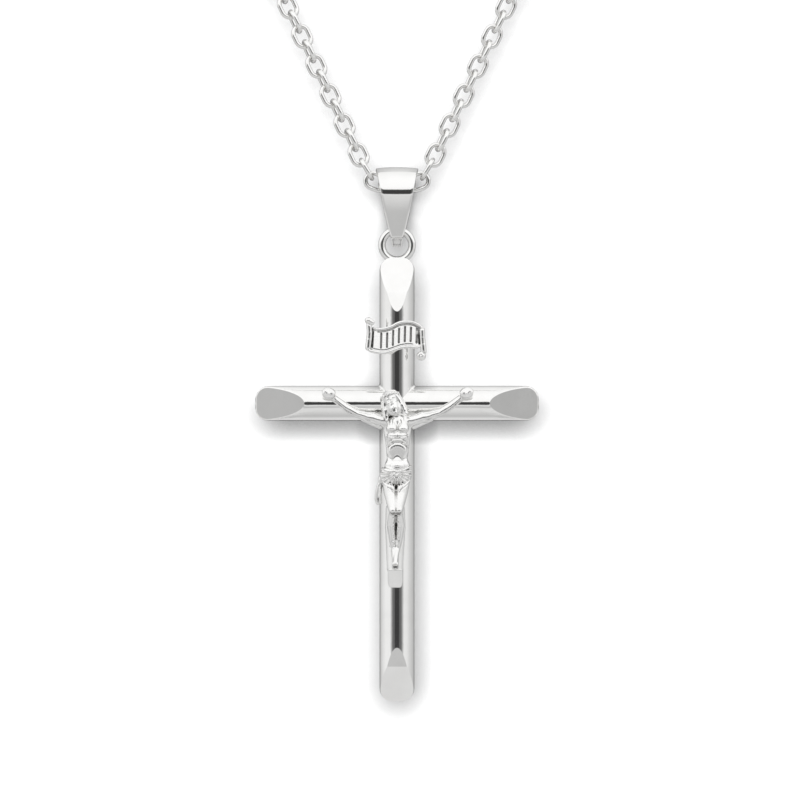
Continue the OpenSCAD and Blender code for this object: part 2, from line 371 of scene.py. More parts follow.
WHITE, CAST_WHITE, WIRE_WHITE = (0.955, 0.952, 0.942), (0.965, 0.962, 0.952), (0.95, 0.947, 0.937)
# the colours that recesses are darkened towards, as painted shade
PAINTED_SHADE, CAST_PAINTED_SHADE, SCROLL_PAINTED_SHADE = (0.36, 0.345, 0.32), (0.14, 0.135, 0.125), (0.06, 0.058, 0.054)
M_BAR = silver("silver_polished", WHITE, PAINTED_SHADE, 0.04, 0.04, 8000, 0.44, 0.10, (1, 1, 0.3))
M_ARM = silver("silver_polished_arm", WHITE, PAINTED_SHADE, 0.04, 0.04, 8000, 0.36, 0.10, (0.3, 1, 1))
M_FACE = silver("silver_facet", WHITE, PAINTED_SHADE, 0.06, 0.04, 5000, 0.20, 0.05, (1, 1, 0.2))
M_CAST = silver("silver_cast", CAST_WHITE, CAST_PAINTED_SHADE, 0.13, 0.07, 4200, 0.30, 0.85, reach=0.00032)
M_SCROLL = silver("silver_scroll", CAST_WHITE, SCROLL_PAINTED_SHADE, 0.16, 0.07, 4200, 0.30, 1.0,
                  reach=0.0003)
M_WIRE = silver("silver_wire", WIRE_WHITE, PAINTED_SHADE, 0.08, 0.05, 5200, 0.20, 0.30)
M_CLASP = silver("silver_clasp", WIRE_WHITE, PAINTED_SHADE, 0.36, 0.08, 5200, 0.30, 0.30)
M_BAIL = silver("silver_bail", WHITE, PAINTED_SHADE, 0.05, 0.04, 5000, 0.16, 0.15, (0.15, 1, 1))


# ---------------------------------------------------------------- bars
def spin(profile):
    """Rings of points round Z from (radius, z) pairs."""
    turns = [2 * math.pi * j / AROUND for j in range(AROUND)]
    return [(r * math.sin(a), -r * math.cos(a), z) for r, z in profile for a in turns]


def lathe_faces(rings):
    """Faces over rings of points between a first and a last point."""
    n = AROUND
    last = 1 + (rings - 1) * n
    faces = [(0, 1 + j, 1 + (j + 1) % n) for j in range(n)]
    for i in range(rings - 1):
        for j in range(n):
            a, b = 1 + i * n + j, 1 + i * n + (j + 1) % n
            faces.append((a, a + n, b + n, b))
    return faces + [(last + j, last + n, last + (j + 1) % n) for j in range(n)]


def revolve(profile):
    """A solid from (radius, z) pairs about Z, the first and last on the axis."""
    first, last = ((0, 0, profile[i][1]) for i in (0, -1))
    return [first] + spin(profile[1:-1]) + [last], lathe_faces(len(profile) - 2)


def rounded_tip(length, steps=9):
    """Profile from the tip's centre (z = 0) down the side to -length."""
    pts = [(0.0, 0.0), ((R - ROUND) * 0.6, 0.0)]
    for i in range(steps + 1):
        a = math.pi / 2 * i / steps
        pts.append((R - ROUND + ROUND * math.sin(a), -ROUND + ROUND * math.cos(a)))
    z = -ROUND
    while z - STEP > -length:
        z -= STEP
        pts.append((R, z))
    pts.append((R, -length))
    return pts


def leaning(angle):
    """The normal, to the front, of a plane that leans by an angle."""
    return Vector((0, -math.cos(angle), math.sin(angle)))


def facet_plane(depth=0.0):
    """The sloping plane of a tip at the origin, as (point, normal out of the metal)."""
    n = leaning(math.atan2(FACET_DROP, FACET_LEN))
    return Vector((0, -R, -FACET_LEN)) - n * depth, n


def slice_off(bm, point, normal):
    """Cuts away what lies on the normal's side and closes the cut. Returns the new face."""
    geom = bm.verts[:] + bm.edges[:] + bm.faces[:]
    res = bmesh.ops.bisect_plane(bm, geom=geom, dist=1e-7, plane_co=point, plane_no=normal,
                                 clear_outer=True)
    edges = [e for e in res["geom_cut"] if isinstance(e, bmesh.types.BMEdge)]
    made = bmesh.ops.contextual_create(bm, geom=edges)
    return made["faces"][0]


def tip_planes(long_tip):
    """The planes that cut a tip: the facet, or on the upright a steep and a flat one."""
    if not long_tip:
        return [facet_plane()]
    return [(Vector((0, -R + FACET_DROP, 0)), leaning(math.radians(STEEP))),
            (Vector((0, -R, -LONG_TIP)), leaning(math.radians(FLAT)))]


def soften_rim(bm, out):
    """Lowers the edge of the facet that faces out."""
    bmesh.ops.remove_doubles(bm, verts=bm.verts, dist=0.003)
    bm.normal_update()
    caps = [f for f in bm.faces if len(f.verts) > CUT_FACE and f.normal.dot(out) > 0.9]
    bmesh.ops.inset_region(bm, faces=caps, thickness=RIM, depth=0.0, use_even_offset=True,
                           use_boundary=True)
    inner = {v for f in caps for v in f.verts}
    around = {v for w in inner for e in w.link_edges for v in e.verts} - inner
    for v in around:
        v.co -= out * RIM_FALL


def bar_piece(name, verts, faces, tips, material, plate=False, long_tip=False):
    """A rod with its sloping tips cut. tips are matrices that carry a tip to its place.
    With plate the result is only the slab under the facet, otherwise all but the slab."""
    bm = bmesh.new()
    vs = [bm.verts.new(v) for v in verts]
    for f in faces:
        bm.faces.new([vs[i] for i in f])
    bmesh.ops.recalc_face_normals(bm, faces=bm.faces)
    for m in tips:
        turn = m.to_3x3()
        p, n = facet_plane(PLATE)
        if not plate:
            slice_off(bm, m @ p, turn @ n)
            continue
        slice_off(bm, m @ p, turn @ -n)
        for p, n in tip_planes(long_tip):
            slice_off(bm, m @ p, turn @ n)
        if not long_tip:
            soften_rim(bm, turn @ facet_plane()[1])
    bmesh.ops.recalc_face_normals(bm, faces=bm.faces)
    for e in bm.edges:
        e.smooth = len(e.link_faces) != 2 or e.calc_face_angle(0.0) < SHARP
    for f in bm.faces:
        f.smooth = True
        if len(f.verts) > CUT_FACE:
            for e in f.edges:
                e.smooth = False
    for v in bm.verts:
        v.co = v.co * MM
    me = bpy.data.meshes.new(name)
    bm.to_mesh(me)
    bm.free()
    return link_mesh(name, me, material)


def side_matrix(s):
    """Carries +Z of a tip to s * X, keeping -Y as the front."""
    return Matrix.Translation((s * HALF_W, CY, Z_ARM)) @ Matrix(
        ((0, 0, s, 0), (0, 1, 0, 0), (1, 0, 0, 0), (0, 0, 0, 1)))


def coped_rod(m):
    """An arm: its tip at the end, its root a saddle on the upright."""
    prof = rounded_tip(HALF_W - SADDLE)[1:]
    shrink = (1.0, 0.82, 0.6, 0.35, 0.12)     # the saddle's rings, from its rim inwards
    points = [(0, 0, 0)] + spin(prof)
    for k in shrink:
        for x, y, _ in spin([(R, 0)]):
            root = math.sqrt(max(R * R - (k * y) ** 2, 0)) if k < 1 else abs(x)
            points.append((k * x, k * y, root - HALF_W))
    points.append((0, 0, R - HALF_W))
    return [m @ Vector(p) for p in points], lathe_faces(len(prof) + len(shrink))


def facet_plate(side, m, long_tip=False):
    """The plate that closes the sloping end on a side of the cross."""
    v, f = revolve(rounded_tip(BLANK) + [(0, -BLANK)])
    plate = bar_piece(f"facet_plate_{side}", [m @ Vector(p) for p in v], f, [m], M_FACE, True,
                      long_tip)
    finish_piece(plate, "cross", "polished_silver", f"facet_{side}")


T_TOP = Matrix.Translation((0, CY, Z_TOP))
T_BOT = Matrix.Translation((0, CY, Z_BOT)) @ Matrix.Diagonal((1, 1, -1, 1))
half = rounded_tip((Z_TOP - Z_BOT) / 2)
v, f = revolve([(r, Z_TOP + z) for r, z in half] + [(r, Z_BOT - z) for r, z in half[-2::-1]])
v = [(x, y + CY, z) for x, y, z in v]
finish_piece(bar_piece("upright_bar", v, f, [T_TOP, T_BOT], M_BAR), "cross", "polished_silver",
             "upright_tube")
facet_plate("top", T_TOP, True)
facet_plate("bottom", T_BOT, True)
for s, side in ((-1, "left"), (1, "right")):
    m = side_matrix(s)
    v, f = coped_rod(m)
    finish_piece(bar_piece(f"arm_bar_{side}", v, f, [m], M_ARM), "cross", "polished_silver",
                 f"arm_tube_{side}")
    facet_plate(side, m)


# ---------------------------------------------------------------- rings, bail and chain
def loop_faces(rows, n):
    """Quads over a closed run of rows, each a closed ring of n points."""
    return [(i * n + j, i * n + (j + 1) % n, (i + 1) % rows * n + (j + 1) % n,
             (i + 1) % rows * n + j) for i in range(rows) for j in range(n)]


def sweep(points, radius, n):
    """A round wire along a closed run of points in the XZ plane; returns verts and faces."""
    p = np.asarray(points, float)
    t = np.roll(p, -1, 0) - np.roll(p, 1, 0)
    t /= np.linalg.norm(t, axis=1)[:, None]
    side = np.array([0.0, 1.0, 0.0])
    a = (2 * np.pi * np.arange(n) / n)[:, None]
    verts = [q for c, d in zip(p, t)
             for q in c + radius * (np.cos(a) * side + np.sin(a) * np.cross(d, side))]
    return verts, loop_faces(len(p), n)


def circle_points(r, n):
    a = np.linspace(0, 2 * np.pi, n, endpoint=False)
    return np.stack([r * np.cos(a), 0 * a, r * np.sin(a)], 1)


v, f = sweep(circle_points(RING_R, 160), WIRE, n=40)
finish_piece(new_object("soldered_ring", v, f, M_WIRE, offset=(0, 0, Z_RING)),
             "ring", "polished_silver", "cross_ring")


def bail_half_width(z):
    """Half the strap's width at a height above the arch's centre."""
    return float(np.interp(z, [-5.45, -5.29, -4.37, -2.67, -0.92, 1.3, ARCH_R],
                           [0.50, 0.58, 0.88, 1.28, 1.60, 1.97, 2.13]))


def bail_outline():
    """The strap's outer outline as y and z from the arch's centre, round from its apex: down
    the front, under the ring and up the back."""
    drop, apex = 0.65, 0.45
    tall = 2.44
    t0 = math.asin(1.1 / ARCH_R)
    z0 = -drop + tall * math.cos(t0)
    pts = []
    for k in np.linspace(0, 1, 16)[:-1]:          # the flat top, barely crowned
        pts.append((apex + (-1.1 - apex) * k, ARCH_R + (z0 - ARCH_R) * (0.75 * k + 0.25 * k * k)))
    pts += [(-ARCH_R * math.sin(t), -drop + tall * math.cos(t))
            for t in np.linspace(t0, math.pi / 2, 22)]
    side = []
    y, z = ARCH_R, -drop
    for _ in range(50):
        dz = (5.12 - drop) / 50
        slope = np.interp(-z, [drop, 1.0, 2.7, 5.2], [0.0, 9.0, 12.3, 12.8])
        y, z = y - math.tan(math.radians(slope)) * dz, z - dz
        side.append((y, z))
    bottom = BAIL_LEN + LOOP_R
    foot = [(-y * math.cos(t), z - (bottom + z) * math.sin(t))
            for t in np.linspace(0, math.pi, 41)[1:-1]]
    pts += [(-a, b) for a, b in side] + foot + side[::-1]
    pts += [(apex + (ARCH_R - apex) * math.sin(t), -drop + (ARCH_R + drop) * math.cos(t))
            for t in np.linspace(math.pi / 2, 0, 22)[:-1]]
    return np.array(pts)


def bail_piece():
    pts = bail_outline()
    t = np.roll(pts, -1, 0) - np.roll(pts, 1, 0)
    t /= np.linalg.norm(t, axis=1)[:, None]
    normal = np.stack([t[:, 1], -t[:, 0]], 1)
    if (normal * (pts - [0, -1.5])).sum() < 0:
        normal = -normal
    verts = []
    cols, edge = 13, 0.065
    for (y, z), (ny, nz) in zip(pts, normal):
        w = bail_half_width(z)
        # the front bows a little, which sags the bright and dark bands
        row = []
        low = 0.03 + 0.11 * min(max((z - 1.0) / 0.6, 0.0), 1.0)
        for c in range(cols):
            x = -w + edge + (2 * w - 2 * edge) * c / (cols - 1)
            out = -low * (x / w) ** 2
            row.append((x, y + ny * out, z + nz * out))

        def at(x, depth):
            py, pz = y - ny * depth, z - nz * depth
            # the inside stays round, so that the strap swings clear of the links in it
            k = max(1.0, LINKS_CLEAR / math.hypot(py, pz)) if z > -0.3 and depth > 0.2 else 1.0
            return (x, py * k, pz * k)
        row += [at(w - edge * 0.35, low + edge * 0.3), at(w, low + edge), at(w, STRAP - edge),
                at(w - edge, STRAP), at(-w + edge, STRAP), at(-w, STRAP - edge),
                at(-w, low + edge), at(-w + edge * 0.35, low + edge * 0.3)]
        verts += row
    ob = new_object("tapered_bail", verts, loop_faces(len(pts), cols + 8), M_BAIL,
                    offset=(0, 0, Z_ARCH))
    recalc(ob, 38)
    return ob


finish_piece(bail_piece(), "bail", "polished_silver", "bail")

# a link: its wire's radius, its ends' radius to the wire's middle and inside it, the gap
# between neighbours' middles, and its straight sides
LW = LINK_WIRE / 2
LR = LINK_W / 2 - LW
LI = LR - LW
GAP = 2 * LI - SLACK
LS = PITCH - GAP


def unit(a):
    return np.array([math.cos(math.radians(a)), math.sin(math.radians(a))])


DU = unit(STRAND)
F1 = np.array([3.855, 3.1])
E1_A, SIDE_A = 60.0, 19.0
B_SIDE = F1 - LS / 2 * DU - (LS + 2 * GAP) * unit(E1_A)
SIDE_C = B_SIDE - LS / 2 * unit(SIDE_A)
HID = (np.array([0.676, -0.233]), 24.3, 55.0)


def link_points(n=28):
    a = np.linspace(-np.pi / 2, np.pi / 2, n)
    right = np.stack([LS / 2 + LR * np.cos(a), 0 * a, LR * np.sin(a)], 1)
    return np.concatenate([right, right[::-1] * [-1, 1, 1]])


def place(points, s, c, slope, roll):
    a, r = math.radians(slope), math.radians(roll)
    p = np.asarray(points, float)
    x, y, z = p[:, 0], p[:, 1], p[:, 2]
    y, z = y * math.cos(r) - z * math.sin(r), y * math.sin(r) + z * math.cos(r)
    x, z = x * math.cos(a) - z * math.sin(a), x * math.sin(a) + z * math.cos(a)
    out = np.stack([x + c[0], y, z + c[1]], 1)
    if s < 0:
        out = out * [-1, -1, 1]
    return out + [0, 0, Z_ARCH]


links = [(HID[0], HID[1], HID[2]), (SIDE_C, SIDE_A, 0.0),
         (B_SIDE + (LS + 2 * GAP) / 2 * unit(E1_A), E1_A, 90.0)]
for i in range(12):
    links.append((F1 + i * PITCH * DU, STRAND, (0 if i % 2 == 0 else 90) + 15.0))
verts, faces = [], []
for s in (-1, 1):
    for c, slope, roll in links:
        v, f = sweep(link_points(), LW, n=18)
        v = place(v, s, c, slope, roll)
        base = len(verts)
        verts += list(v)
        faces += [tuple(i + base for i in q) for q in f]
chain = new_object("cable_chain", verts, faces, M_WIRE)
finish_piece(chain, "chain", "chain_silver", "link_hidden_l", "link_hidden_r",
             *[f"link_{s}{i:02d}" for s in "lr" for i in range(14)])

END = F1 + (11 * PITCH + LS / 2 + LI + (RING_E - WIRE_E) - SLACK) * DU
jump_rings = []
for s, side in ((-1, "left"), (1, "right")):
    v, f = sweep(circle_points(RING_E, 96), WIRE_E, n=24)
    jump_rings.append(finish_piece(
        new_object(f"jump_ring_{side}", v, f, M_WIRE, offset=(s * END[0], 0, 0)),
        "chain", "chain_silver", f"end_ring_{side}"))
for node in ("clasp_body", "clasp_lever", "clasp_pin"):
    ob = frame["nodes"][node]
    ob.data.materials.clear()
    ob.data.materials.append(M_CLASP)
half_path = [np.zeros(2), HID[0], SIDE_C] + [c for c, _, _ in links[2:]]
half_path.append(links[-1][0] + (LS / 2 + LR) * DU)
line_z = [(s * c[0] * MM, 0.0, (c[1] + Z_ARCH) * MM) for s, run in
          ((-1, half_path[::-1]), (1, half_path[1:])) for c in run]
length = sum(math.dist(p, q) for p, q in zip(line_z, line_z[1:]))
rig.cord(chain, exit=line_z[0], length=length, diameter=0.0018, far_end="fitting",
        stiffness="limp", lay="taut", path=line_z,
        with_pieces=jump_rings + ["clasp_body", "clasp_lever", "clasp_pin"])


# ---------------------------------------------------------------- solids from distance fields
class Field:
    """A distance field on a grid, in millimetres."""

    def __init__(self, lo, hi, h):
        self.h = h
        self.lo = np.array(lo, float)
        n = np.ceil((np.array(hi) - self.lo) / h).astype(int) + 1
        self.ax = [(a + h * np.arange(k)).astype(np.float32) for a, k in zip(self.lo, n)]
        self.f = np.full(tuple(n), OUTSIDE, np.float32)

    def window(self, lo, hi, pad):
        """The part of the grid in a box, with pad round it."""
        sl = tuple(slice(*np.searchsorted(ax, (a - pad, b + pad)))
                   for ax, a, b in zip(self.ax, lo, hi))
        return sl, np.ix_(*[ax[part] for ax, part in zip(self.ax, sl)])

    def blend(self, shape, k, pad, sign):
        fn, lo, hi = shape
        sl, g = self.window(lo, hi, k + pad)
        a, b = sign * self.f[sl], fn(*g)
        m = np.maximum(k - np.abs(a - b), 0) / k
        self.f[sl] = sign * (np.minimum(a, b) - m * m * k * 0.25)

    def add(self, shape, k=0.12):
        """Joins a shape, with a fillet of about k."""
        self.blend(shape, k, 0.2, 1)

    def cut(self, shape, k=0.06):
        self.blend(shape, k, 0.1, -1)

    def press(self, shape, depth, width):
        """Sinks the surface near a line or point."""
        fn, lo, hi = shape
        sl, g = self.window(lo, hi, width * 2.6)
        self.f[sl] += depth * np.exp(-(np.maximum(fn(*g), 0) / width) ** 2)

    def groove(self, points, depth, width):
        self.press(line(points), depth, width)

    def leave_bars(self):
        """Takes the bars out of a field whose y runs from their front line."""
        x, y, z = np.ix_(*self.ax)
        y = y - R
        bars = np.minimum(np.hypot(x, y), np.hypot(y, z)) - (R - OVERLAP)
        self.f = np.maximum(self.f, -bars).astype(np.float32)

    def mesh(self, smooth=2):
        return surface_nets(self.f, self.h, self.lo, smooth)


def cone(a, b, ra, rb):
    a, b = np.array(a, float), np.array(b, float)
    ba = b - a
    ll = float(ba @ ba) or 1e-9
    r = max(ra, rb)

    def fn(x, y, z):
        dx, dy, dz = x - a[0], y - a[1], z - a[2]
        t = np.clip((dx * ba[0] + dy * ba[1] + dz * ba[2]) / ll, 0, 1)
        return np.sqrt((dx - t * ba[0]) ** 2 + (dy - t * ba[1]) ** 2
                       + (dz - t * ba[2]) ** 2) - (ra + (rb - ra) * t)
    return fn, np.minimum(a, b) - r, np.maximum(a, b) + r


def ellipsoid(c, r, rot=None):
    c, r = np.array(c, float), np.array(r, float)
    m = np.eye(3) if rot is None else np.array(rot)

    def fn(x, y, z):
        dx, dy, dz = x - c[0], y - c[1], z - c[2]
        q = [dx * m[0][i] + dy * m[1][i] + dz * m[2][i] for i in range(3)]
        k0 = np.sqrt(sum((q[i] / r[i]) ** 2 for i in range(3)))
        k1 = np.sqrt(sum((q[i] / r[i] ** 2) ** 2 for i in range(3)))
        return k0 * (k0 - 1) / np.maximum(k1, 1e-6)
    return fn, c - r.max(), c + r.max()


def union(shapes):
    def fn(x, y, z):
        d = shapes[0][0](x, y, z)
        for part in shapes[1:]:
            d = np.minimum(d, part[0](x, y, z))
        return d
    return fn, np.min([part[1] for part in shapes], 0), np.max([part[2] for part in shapes], 0)


def line(points, radius=0.0):
    """The distance to a run of points, less radius."""
    return union([cone(p, q, radius, radius) for p, q in zip(points, points[1:])])


def surface_nets(f, h, lo, smooth):
    """Quads through the zero level of f, one vertex a cell."""
    s = f < 0
    nx, ny, nz = (d - 1 for d in f.shape)
    cnt = np.zeros((nx, ny, nz), np.int8)
    for i in (0, 1):
        for j in (0, 1):
            for k in (0, 1):
                cnt += s[i:i + nx, j:j + ny, k:k + nz]
    act = (cnt > 0) & (cnt < 8)
    idx = np.full(act.shape, -1, np.int64)
    cells = np.argwhere(act)
    idx[act] = np.arange(len(cells))
    acc = np.zeros((len(cells), 3))
    num = np.zeros(len(cells))
    corners = [(i, j, k) for i in (0, 1) for j in (0, 1) for k in (0, 1)]
    vals = {c: f[cells[:, 0] + c[0], cells[:, 1] + c[1], cells[:, 2] + c[2]].astype(float)
            for c in corners}
    for c in corners:
        for axis in range(3):
            if c[axis]:
                continue
            d = list(c)
            d[axis] = 1
            a, b = vals[c], vals[tuple(d)]
            cross = (a < 0) != (b < 0)
            t = np.where(cross, a / np.where(cross, a - b, 1), 0)
            p = np.tile(np.array(c, float), (len(cells), 1))
            p[:, axis] += t
            acc[cross] += p[cross]
            num[cross] += 1
    verts = cells + acc / num[:, None]
    quads = []
    for axis in range(3):
        u, w = (axis + 1) % 3, (axis + 2) % 3
        a = np.take(s, range(f.shape[axis] - 1), axis)
        b = np.take(s, range(1, f.shape[axis]), axis)
        for crossed, flip in ((a & ~b, False), (~a & b, True)):
            e = np.argwhere(crossed)
            ok = (e[:, u] > 0) & (e[:, w] > 0) & (e[:, u] < act.shape[u]) & (e[:,
                                                                               w] < act.shape[w])
            e = e[ok]
            if not len(e):
                continue
            q = []
            for du, dw in ((0, 0), (-1, 0), (-1, -1), (0, -1)):
                g = e.copy()
                g[:, u] += du
                g[:, w] += dw
                q.append(idx[g[:, 0], g[:, 1], g[:, 2]])
            q = np.stack(q, 1)
            quads.append(q[:, ::-1] if flip else q)
    quads = np.concatenate(quads)
    quads = quads[(quads >= 0).all(1)]
    for _ in range(smooth):                    # even out the grid's steps
        tot = np.zeros_like(verts)
        n = np.zeros(len(verts))
        for i in range(4):
            a, b = quads[:, i], quads[:, (i + 1) % 4]
            for k in range(3):
                tot[:, k] += np.bincount(a, verts[b, k], len(verts))
                tot[:, k] += np.bincount(b, verts[a, k], len(verts))
            n += np.bincount(a, minlength=len(verts)) + np.bincount(b, minlength=len(verts))
        verts = verts + 0.45 * (tot / n[:, None] - verts)
    return verts * h + lo, quads


def euler(pitch, yaw, roll):
    """Turns about X (nod), Z (turn) and Y (lean), in degrees."""
    m = Matrix.Rotation(math.radians(roll), 3, "Y") @ Matrix.Rotation(math.radians(yaw), 3, "Z") \
        @ Matrix.Rotation(math.radians(pitch), 3, "X")
    return np.array(m)


def cast_piece(field, name, material, node, smooth=2):
    """Makes a field that sits on the bars into a piece of the cross."""
    field.leave_bars()
    v, f = field.mesh(smooth)
    finish_piece(new_object(name, v, f, material, offset=FRONT), "cross", "cast_silver", node)


# ---------------------------------------------------------------- the cast figure
# like the scroll and the foot block, measured from the bars' front line at the crossing
fig = Field((-8.3, R - 4.35, -16.9), (8.4, R + 0.55, 2.7), 0.045)
add, cut, press, groove = fig.add, fig.cut, fig.press, fig.groove
MIDLINE = 0.05


def limb(*stations, k=0.1):
    """Round cones through (x, y, z, r) stations."""
    add(union([cone(p[:3], q[:3], p[3], q[3]) for p, q in zip(stations, stations[1:])]), k)


def sculpt_body():
    # rib cage, shoulders and belly
    add(ellipsoid((0.04, -0.35, -2.7), (1.26, 0.80, 1.75)), 0.2)
    add(cone((-1.1, -0.45, -1.75), (1.15, -0.45, -1.75), 0.52, 0.52), 0.35)
    add(ellipsoid((0.04, -0.60, -3.25), (1.12, 0.88, 0.72)), 0.12)
    add(ellipsoid((0.04, -0.40, -4.9), (1.10, 0.66, 1.6)), 0.3)
    add(ellipsoid((0.02, -0.45, -6.2), (1.26, 0.72, 0.9)), 0.35)
    # chest, its planes leaning forward down to their lower line
    for s in (-1, 1):
        add(cone((MIDLINE + s * 0.50, -0.58, -1.55), (MIDLINE + s * 0.57, -1.00, -2.42), 0.44,
                 0.52), 0.12)
        add(ellipsoid((MIDLINE + s * 0.57, -1.10, -2.52), (0.56, 0.46, 0.34)), 0.10)
        # flank below the arm
        add(cone((MIDLINE + s * 1.08, -0.42, -2.3), (MIDLINE + s * 0.92, -0.42, -4.3), 0.36, 0.24),
            0.2)
    # neck
    add(cone((0.0, -0.5, -1.6), (-0.1, -0.7, -0.6), 0.5, 0.42), 0.2)
    # hollow below the ribs, then the belly leaning forward again
    add(ellipsoid((0.05, -0.58, -4.75), (1.06, 0.72, 1.15)), 0.1)

    def before_belly(x, y, z):
        lean = -1.20 + 0.21 * (-4.0 - z)
        oval = (np.sqrt(((x - 0.05) / 1.0) ** 2 + ((z + 4.75) / 1.05) ** 2) - 1) * 0.9
        return np.maximum(y - lean, oval + 0 * y)
    cut((before_belly, np.array([-1.0, -1.7, -5.85]), np.array([1.1, -0.8, -3.65])), 0.16)
    add(cone((0.03, -0.56, -5.45), (0.03, -0.84, -6.25), 0.36, 0.52), 0.2)
    # arch of the ribs
    arch = [(-1.02, -0.90, -4.22), (-0.82, -1.12, -3.94), (-0.45, -1.32, -3.72),
            (0.04, -1.40, -3.64), (0.53, -1.32, -3.72), (0.90, -1.12, -3.94), (1.10, -0.90, -4.22)]
    add(line(arch, 0.075), 0.10)
    groove([(x, y - 0.06, z - 0.16) for x, y, z in arch[1:-1]], 0.08, 0.06)
    for s in (-1, 1):
        # lower line of each chest muscle
        groove([(MIDLINE + s * 0.98, -1.20, -2.70), (MIDLINE + s * 0.72, -1.46, -2.80),
                (MIDLINE + s * 0.4, -1.50, -2.83), (MIDLINE + s * 0.14, -1.42, -2.78)], 0.30, 0.06)
        cut(cone((MIDLINE + s * 0.20, -1.42, -2.84), (MIDLINE + s * 0.84, -1.34, -2.82), 0.11,
                 0.09), 0.03)
        groove([(MIDLINE + s * 1.04, -0.85, -3.17), (MIDLINE + s * 0.62, -1.30, -3.28),
                (MIDLINE + s * 0.20, -1.45, -3.34)], 0.09, 0.05)
        # flank muscle
        groove([(MIDLINE + s * 0.98, -0.85, -4.5), (MIDLINE + s * 0.88, -0.95, -5.3),
                (MIDLINE + s * 0.62, -1.15, -6.1)], 0.07, 0.07)
    groove([(0.05, -1.25, -1.7), (0.05, -1.48, -2.6), (0.05, -1.48, -3.55)], 0.15, 0.055)
    groove([(-0.22, -1.14, -5.46), (0.03, -1.18, -5.50), (0.28, -1.14, -5.46)], 0.12, 0.06)
    groove([(-0.3, -1.34, -6.30), (0.03, -1.40, -6.36), (0.36, -1.34, -6.30)], 0.22, 0.06)


def sculpt_webs():
    """The casting's thin webs under the arms."""
    for s in (-1, 1):
        add(cone((s * 3.5, R - 0.5, -1.62), (s * 1.65, R - 0.5, -2.28), 0.16, 0.34), 0.1)
        add(cone((s * 2.4, R - 0.5, -1.62), (s * 1.6, R - 0.5, -1.9), 0.42, 0.42), 0.1)


def sculpt_arm(s, shoulder, upper, elbow, fore, wrist, palm, lean):
    limb((*shoulder, 0.56), (*upper, 0.49), (*elbow, 0.41), (*fore, 0.44), (*wrist, 0.34), k=0.16)
    add(ellipsoid(upper, (0.75, 0.46, 0.52), euler(0, 0, s * 18)), 0.2)
    # muscle line along the arm, elbow crease and wrist tendon
    mid_y = shoulder[1] - 0.36
    groove([(shoulder[0] + s * 0.3, mid_y, shoulder[2] - 0.34), (upper[0], mid_y, upper[2] - 0.31),
            (elbow[0], elbow[1] - 0.28, elbow[2] - 0.26), (fore[0], fore[1] - 0.3, fore[2] - 0.28),
            (wrist[0], wrist[1] - 0.22, wrist[2] - 0.17)], 0.22, 0.055)
    groove([(upper[0] - s * 0.3, upper[1] - 0.38, upper[2] + 0.25),
            (elbow[0], elbow[1] - 0.3, elbow[2] + 0.2)], 0.05, 0.06)
    m = euler(0, 0, lean)

    def at(u, v, w):
        return np.array(palm) + m @ np.array([u, v, w])
    add(cone(wrist, at(-s * 0.1, 0, -0.05), 0.27, 0.32), 0.12)
    add(ellipsoid(at(0, 0, 0), (0.50, 0.24, 0.40), m), 0.12)
    fist = ellipsoid((palm[0] - s * 0.04, palm[1] - 0.14, palm[2] + 0.02), (0.72, 0.42, 0.60),
                     euler(0, 0, -s * 15))
    add(fist, 0.12)
    for w in (0.20, 0.02, -0.16):             # gaps between the fingers, closed on the palm
        groove([at(s * 0.20, -0.52, w), at(s * 0.48, -0.46, w * 0.9),
                at(s * 0.70, -0.22, w * 0.8)], 0.08, 0.045)
    add(cone(at(-s * 0.20, -0.30, 0.30), at(s * 0.12, -0.42, 0.36), 0.13, 0.11), 0.05)
    # nail head in the palm
    add(ellipsoid(at(-s * 0.05, -0.55, -0.05), (0.11, 0.08, 0.11)), 0.03)


SHINS = (((-11.0, -0.45, -1.02, 0.38), (-12.2, -0.58, -0.62, 0.42), (-13.6, -0.44, -0.42, 0.31),
          (-14.6, -0.28, -0.40, 0.25)), ((-11.0, 0.20, -1.04, 0.37), (-12.2, 0.36, -0.64, 0.41),
                                         (-13.6, 0.20, -0.44, 0.31), (-14.5, 0.02, -0.42, 0.24)))


def shin_front(x, z):
    """How far forward the shins' surface stands."""
    best = -0.3
    for leg in SHINS:
        cx, cy, r = (float(np.interp(-z, [-p[0] for p in leg], [p[i] for p in leg]))
                     for i in (1, 2, 3))
        best = min(best, cy - math.sqrt(max(r * r - (x - cx) ** 2, 0)))
    return best


